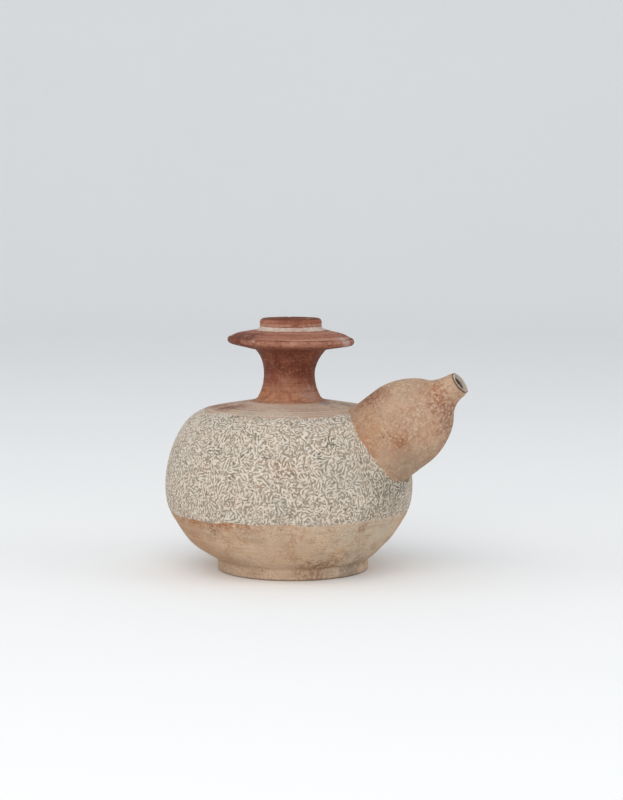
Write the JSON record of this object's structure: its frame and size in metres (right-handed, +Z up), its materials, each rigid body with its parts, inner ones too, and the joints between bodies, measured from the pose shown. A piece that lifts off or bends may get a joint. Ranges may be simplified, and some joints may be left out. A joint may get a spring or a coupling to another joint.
{
  "type": "kendi",
  "caption": "Earthenware kendi with a bulbous upturned spout, red-slipped waisted neck, broad flanged mouth and a wide band of fine worm-like pale slip strokes",
  "frame": {"origin": "centre of the circle on which the foot ring stands", "axes": "+Z up through the mouth, +X towards the spout"},
  "size_m": [0.1853, 0.1484, 0.151],
  "materials": {
    "buff_earthenware": "matte",
    "shoulder_earthenware": "matte",
    "worm_slip": "matte",
    "red_slip": "burnished",
    "pale_slip": "matte",
    "spout_earthenware": "matte",
    "luting_clay": "matte"
  },
  "bodies": {
    "root": {"foot_ring": "buff_earthenware", "lower_body": "buff_earthenware", "seam_lute": "luting_clay", "upper_body": "shoulder_earthenware", "pattern_slip": "worm_slip", "neck_lute": "red_slip", "neck": "red_slip", "flange": "red_slip", "mouth_collar": "red_slip", "collar_slip": "pale_slip", "spout": "spout_earthenware", "spout_lute": "luting_clay", "spout_lip": "pale_slip"}
  },
  "joints": []
}
